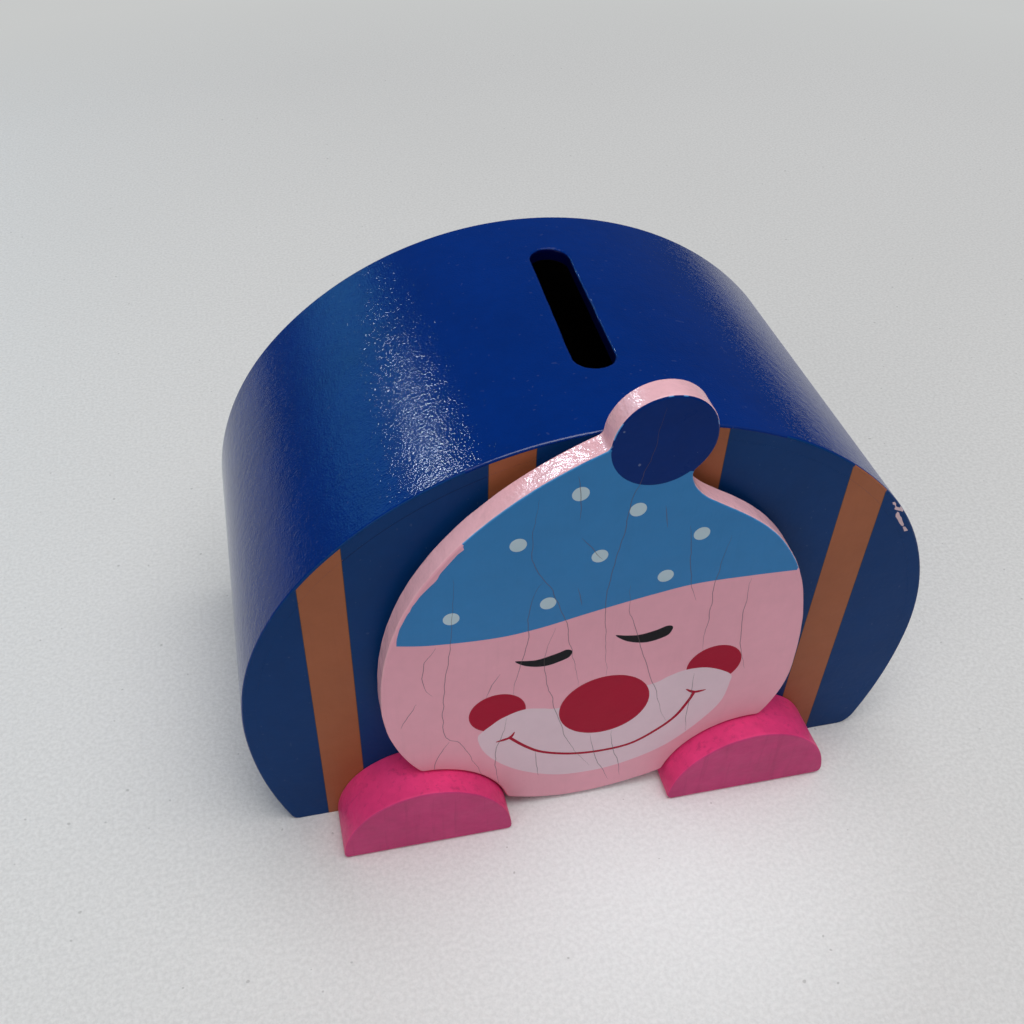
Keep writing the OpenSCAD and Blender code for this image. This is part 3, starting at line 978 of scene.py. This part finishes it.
def floor_material():
    """A pale matt tabletop with a faint grain, a painted pool of light in front of the box and painted shade
    far off, clear from below.
    """
    g = Graph("pale_floor")
    where = g.place()
    grain = g.noise(where, 1400, 3.0, 0.6)
    cloud = g.noise(where, 6, 2.0, 0.5)
    base = g.mix(g.remap(grain, 0.35, 0.65), FLOOR_DARK, FLOOR_LIGHT)
    base = g.mix(g.remap(cloud, 0.3, 0.7, 0.0, 0.25), base, shade(FLOOR_DARK, 0.96))
    reach = g.node("VectorMath", {0: where, 1: LIT_POOL_AT}, operation="DISTANCE").outputs["Value"]
    # painted light: the floor is paler in a pool in front of the box and between the feet
    painted_light = g.mix(g.remap(grain, 0.35, 0.65), shade(FLOOR_PAINTED_LIGHT, 0.9), FLOOR_PAINTED_LIGHT)
    base = g.mix(g.remap(reach, *LIT_POOL, 1.0, 0.0), base, painted_light)
    base = g.mix(g.remap(reach, *FAR_SHADE), base, FLOOR_FAR_SHADE)
    dust = g.noise(where, 800, 0.0, 0.4)
    base = g.mix(g.remap(dust, 0.855, 0.87, 0.0, 0.4), base, LINT_GREY)
    shader = g.surface(base, 0.6, g.bump(grain, 0.08))
    seen = g.node("LightPath").outputs["Is Camera Ray"]
    haze = g.math("MULTIPLY", seen, g.remap(reach, *HAZE))
    shader = g.blend(haze, shader, g.node("Emission", {"Color": BACKDROP}))
    clear = g.node("BsdfTransparent")
    below = g.node("NewGeometry").outputs["Backfacing"]
    return g.finish(g.blend(below, shader, clear))


def head_coat(name, colour, roughness, mottle, peel=0.02, wave=0.04, gloss=0.2, **more):
    """Paint on the head's front, with the cracks."""
    return coat(name, colour, roughness, mottle, peel, wave, 0.8, cracked=CRACK_BROWN, gloss=gloss, **more)


# In each row: name, colour, roughness, mottle, peel, wave, peel_size.
wall = coat("wall_enamel", WALL_BLUE, 0.07, 0.10, 0.058, 0.06, 0.36, specks=0.04, gloss=0.1, dull=0.13)
lip = coat("lip_enamel", WALL_BLUE, 0.12, 0.10, 0.10, 0.05, 0.5, gloss=0.12)
slot_shade = coat("slot_shade", SLOT_SHADE_NAVY, 0.4, 0.10, 0.05, 0.05, 0.5, gloss=0.1)
rim_gloss = coat("rim_enamel", WALL_BLUE, 0.12, 0.10, 0.03, 0.05, 0.34, 1.4, gloss=0.7)
face = coat("front_satin", FACE_BLUE, 0.38, 0.08, 0.02, 0.05, 0.8, cracked=SEAM_NAVY, specks=0.05, gloss=0.1)
outline = coat("stripe_outline", OUTLINE_OLIVE, 0.42, 0.08, 0.02, 0.05, 0.8, gloss=0.1)
stripe = coat("stripe_print", STRIPE_ORANGE, 0.42, 0.08, 0.02, 0.05, 0.8, grain=0.12, gloss=0.18)
chip = coat("bare_chip", CHIP_PINK, 0.7, 0.15, 0.05, 0.05, 0.5, gloss=0.2)
# painted shade: the bare inner veneer is darkened to near black for the shade inside the box
shaded_inside_wood = bare_wood("shaded_inner_veneer", (0.03, 0.02, 0.014, 1), (0.018, 0.012, 0.009, 1))
board_wood = bare_wood("base_board", (0.62, 0.44, 0.27, 1), (0.45, 0.29, 0.16, 1))
back_face = coat("back_satin", FACE_BLUE, 0.36, 0.1, 0.03, 0.06, 0.8, specks=0.12, gloss=0.2)
lit_foot_skin = coat("foot_paint", FOOT_LIT_PINK, 0.42, 0.17, 0.07, 0.22, 0.9, grain=0.8, gloss=0.2)
shaded_foot_front = coat("shaded_foot_front_paint", FOOT_FRONT_SHADED_PINK, 0.5, 0.15, 0.05, 0.16, 0.9, grain=0.5, gloss=0.25)
head_paints = [
    head_coat("head_pink", PINK, 0.45, 0.05, grain=0.1),
    head_coat("cap_print", CAP_BLUE, 0.42, 0.05, grain=0.1),
    head_coat("pompom_print", POMPOM_BLUE, 0.3, 0.1, 0.03, 0.05, specks=0.25, gloss=0.08),
    head_coat("dot_print", DOT_GREY, 0.45, 0.05),
    head_coat("muzzle_print", MUZZLE_WHITE, 0.45, 0.04),
    head_coat("red_print", RED, 0.4, 0.06, gloss=0.08),
    head_coat("ink_print", INK, 0.4, 0.1, gloss=0.08),
    coat("lit_edge_pink", LIT_EDGE_PINK, 0.22, 0.07, 0.055, 0.16, 0.42, grain=0.3, gloss=0.35),
    coat("painted_edge_highlight", EDGE_HIGHLIGHT_BLUE, 0.3, 0.3, 0.04, 0.04, 0.5, gloss=0.6),
]


# ---- the pieces

make_wall([wall, face, stripe, chip, outline, shaded_inside_wood, rim_gloss, lip, slot_shade])
make_boards([face, stripe, chip, outline, shaded_inside_wood], [back_face, shaded_inside_wood])
make_head(head_paints)
# painted light and shade: the fronts take the darker pink, the tops and sides the lighter
make_foot("foot_left", "left_foot", [shaded_foot_front, lit_foot_skin], 1.0)
make_foot("foot_right", "right_foot", [shaded_foot_front, lit_foot_skin], 1.4)
kept_nodes = {"base_panel": board_wood, "stopper": soft_plastic("stopper_plastic", (0.02, 0.02, 0.022, 1)),
              "head_pad": soft_plastic("pad_foam", (0.5, 0.48, 0.42, 1))}
for node, material in kept_nodes.items():
    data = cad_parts[node].data
    data.materials.clear()
    data.materials.append(material)


# ---- stage, light and camera

LAMP_AIM = (0, 0, 0.035)
ROOM, ROOM_STRENGTH = (0.75, 0.90, 1.0, 1), 0.13
FLOOR_DROP, FLOOR_EDGE = 0.03, 2500.0  # how far the floor is below the box, and its reach


def make_floor():
    """The tabletop, with openings for light from below, just smaller than the box and the feet over them."""
    left, right = (arch_point(s, 0.0)[0][0] for s in (-HALF_LENGTH, HALF_LENGTH))
    covered = [((left + 0.5, FACE_Y + 0.6), (right - 0.3, BACK_Y - 0.6))]
    for node in ("left_foot", "right_foot"):
        low, high = box_mm(node)
        covered.append(((low[0] + 1.6, low[1] + 0.6), (high[0] - 1.6, high[1] - 0.3)))
    xs, ys = (sorted({-FLOOR_EDGE, FLOOR_EDGE} | {corner[axis] for pair in covered for corner in pair})
              for axis in (0, 1))
    points = [(x * MM, y * MM, -FLOOR_DROP * MM) for y in ys for x in xs]
    faces = []
    for row in range(len(ys) - 1):
        for column in range(len(xs) - 1):
            x, y = (xs[column] + xs[column + 1]) / 2, (ys[row] + ys[row + 1]) / 2
            if not any(low[0] < x < high[0] and low[1] < y < high[1] for low, high in covered):
                first = row * len(xs) + column
                faces.append((first, first + 1, first + len(xs) + 1, first + len(xs)))
    mesh = bpy.data.meshes.new("floor")
    mesh.from_pydata(points, [], faces)
    mesh.materials.append(floor_material())
    floor = added("floor", mesh)


def area_light(name, direction, distance, width, height, power, colour, gloss_only=False):
    """A soft rectangular lamp that looks at the box. gloss_only keeps it to the highlights."""
    data = bpy.data.lights.new(name, "AREA")
    data.shape = "RECTANGLE"
    data.size, data.size_y = width, height
    data.energy = power
    data.color = colour
    lamp = added(name, data)
    way = Vector(direction).normalized()
    lamp.location = Vector(LAMP_AIM) + way * distance
    lamp.rotation_euler = way.to_track_quat("Z", "Y").to_euler()
    lamp.visible_diffuse = not gloss_only
    lamp.visible_camera = False


CAMERA_AT = (-44.97, -138.15, 170.80)
CAMERA_TURN = (-11.536, 43.484, -0.187)  # azimuth, elevation and roll, in degrees
CAMERA_LENS, CAMERA_SHIFT = 39.51, (0.04915, 0.02718)


def make_camera():
    """The photograph's camera: place, aim and framing."""
    azimuth, elevation, roll = (math.radians(turn) for turn in CAMERA_TURN)
    back = Vector((math.sin(azimuth) * math.cos(elevation), -math.cos(azimuth) * math.cos(elevation),
                   math.sin(elevation)))
    right = Vector((0, 0, 1)).cross(back).normalized()
    up = back.cross(right)
    x_axis = math.cos(roll) * right + math.sin(roll) * up
    y_axis = -math.sin(roll) * right + math.cos(roll) * up
    data = bpy.data.cameras.new("camera")
    data.sensor_width = 36
    data.lens = CAMERA_LENS
    data.shift_x, data.shift_y = CAMERA_SHIFT
    data.clip_start, data.clip_end = 0.01, 20
    camera = added("camera", data)
    turn = Matrix((x_axis, y_axis, back)).transposed().to_4x4()
    camera.matrix_world = Matrix.Translation(Vector(CAMERA_AT) * MM) @ turn
    bpy.context.scene.camera = camera


def make_world():
    """A dim bluish room, in which camera rays see the plain backdrop."""
    world = bpy.data.worlds.new("room")
    bpy.context.scene.world = world
    world.use_nodes = True
    nodes, links = world.node_tree.nodes, world.node_tree.links
    room = nodes["Background"]
    room.inputs["Color"].default_value = ROOM
    room.inputs["Strength"].default_value = ROOM_STRENGTH
    backdrop = nodes.new("ShaderNodeBackground")
    backdrop.inputs["Color"].default_value = BACKDROP
    seen = nodes.new("ShaderNodeLightPath")
    both = nodes.new("ShaderNodeMixShader")
    links.new(seen.outputs["Is Camera Ray"], both.inputs[0])
    links.new(room.outputs[0], both.inputs[1])
    links.new(backdrop.outputs[0], both.inputs[2])
    links.new(both.outputs[0], nodes["World Output"].inputs["Surface"])


make_floor()
make_world()
# In each row: name, direction, distance, width and height in metres, power in watts, colour.
area_light("window", (-0.436, 0.653, 0.619), 1.5, 0.2, 0.15, 8.5, (0.72, 0.89, 1.0), gloss_only=True)
area_light("doorway", (-0.501, 0.802, 0.326), 1.6, 0.7, 0.45, 1.8, (0.15, 0.68, 1.0), gloss_only=True)
area_light("ceiling", (0.12, -0.08, 1.0), 1.5, 1.5, 1.5, 20.5, (1.0, 0.99, 0.985))
area_light("left_fill", (-0.75, -0.6, 0.42), 1.6, 1.0, 0.8, 4.0, (1.0, 0.99, 0.98))
area_light("below", (0.0, 0.0, -1.0), 1.2, 1.0, 1.0, 10.0, (1.0, 1.0, 1.0))
make_camera()
bpy.context.scene.view_settings.view_transform = "Standard"
